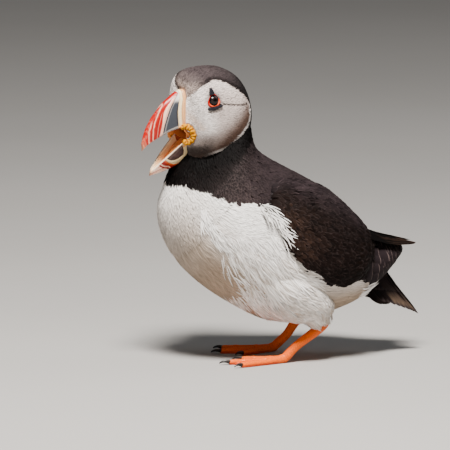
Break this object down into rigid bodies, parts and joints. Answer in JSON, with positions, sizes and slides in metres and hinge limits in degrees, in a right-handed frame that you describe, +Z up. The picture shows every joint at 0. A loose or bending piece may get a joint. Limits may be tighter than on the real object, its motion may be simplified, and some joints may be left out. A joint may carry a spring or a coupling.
{
  "type": "atlantic puffin",
  "caption": "Life-size Atlantic puffin standing with its bill open, black above and white below, with a red, slate and cream bill and orange webbed feet",
  "frame": {"origin": "on the floor, under the middle of the bird's length and width", "axes": "+Z up, the bird faces -Y and its left side is +X"},
  "size_m": [0.0856, 0.1852, 0.1836],
  "materials": {
    "black_feather": "soft, matt plumage",
    "grey_feather": "short, matt plumage",
    "white_feather": "silky, matt plumage",
    "red_horn": "satin horn",
    "pale_horn": "dull horn",
    "yellow_skin": "bare wrinkled skin",
    "mouth_skin": "moist skin",
    "eye_dark": "wet gloss",
    "eye_ring": "bare skin",
    "eye_horn": "dull horn",
    "orange_skin": "scaly skin",
    "claw": "polished horn"
  },
  "bodies": {
    "root": {"bill_lower": "red_horn", "bill_upper": "red_horn", "cere": "pale_horn", "claw_inner_left": "claw", "claw_inner_right": "claw", "claw_middle_left": "claw", "claw_middle_right": "claw", "claw_outer_left": "claw", "claw_outer_right": "claw", "eye_left": "eye_dark", "eye_plate_lower_left": "eye_horn", "eye_plate_lower_right": "eye_horn", "eye_plate_upper_left": "eye_horn", "eye_plate_upper_right": "eye_horn", "eye_right": "eye_dark", "eyelid_left": "eye_ring", "eyelid_right": "eye_ring", "foot_left": "orange_skin", "foot_right": "orange_skin", "head": "grey_feather", "neck": "black_feather", "primaries_left": "black_feather", "primaries_right": "black_feather", "rosette_left": "yellow_skin", "rosette_right": "yellow_skin", "shank_left": "orange_skin", "shank_right": "orange_skin", "tail": "black_feather", "thigh_left": "white_feather", "thigh_right": "white_feather", "tongue": "mouth_skin", "trunk": "white_feather", "wing_left": "black_feather", "wing_right": "black_feather"}
  },
  "joints": []
}
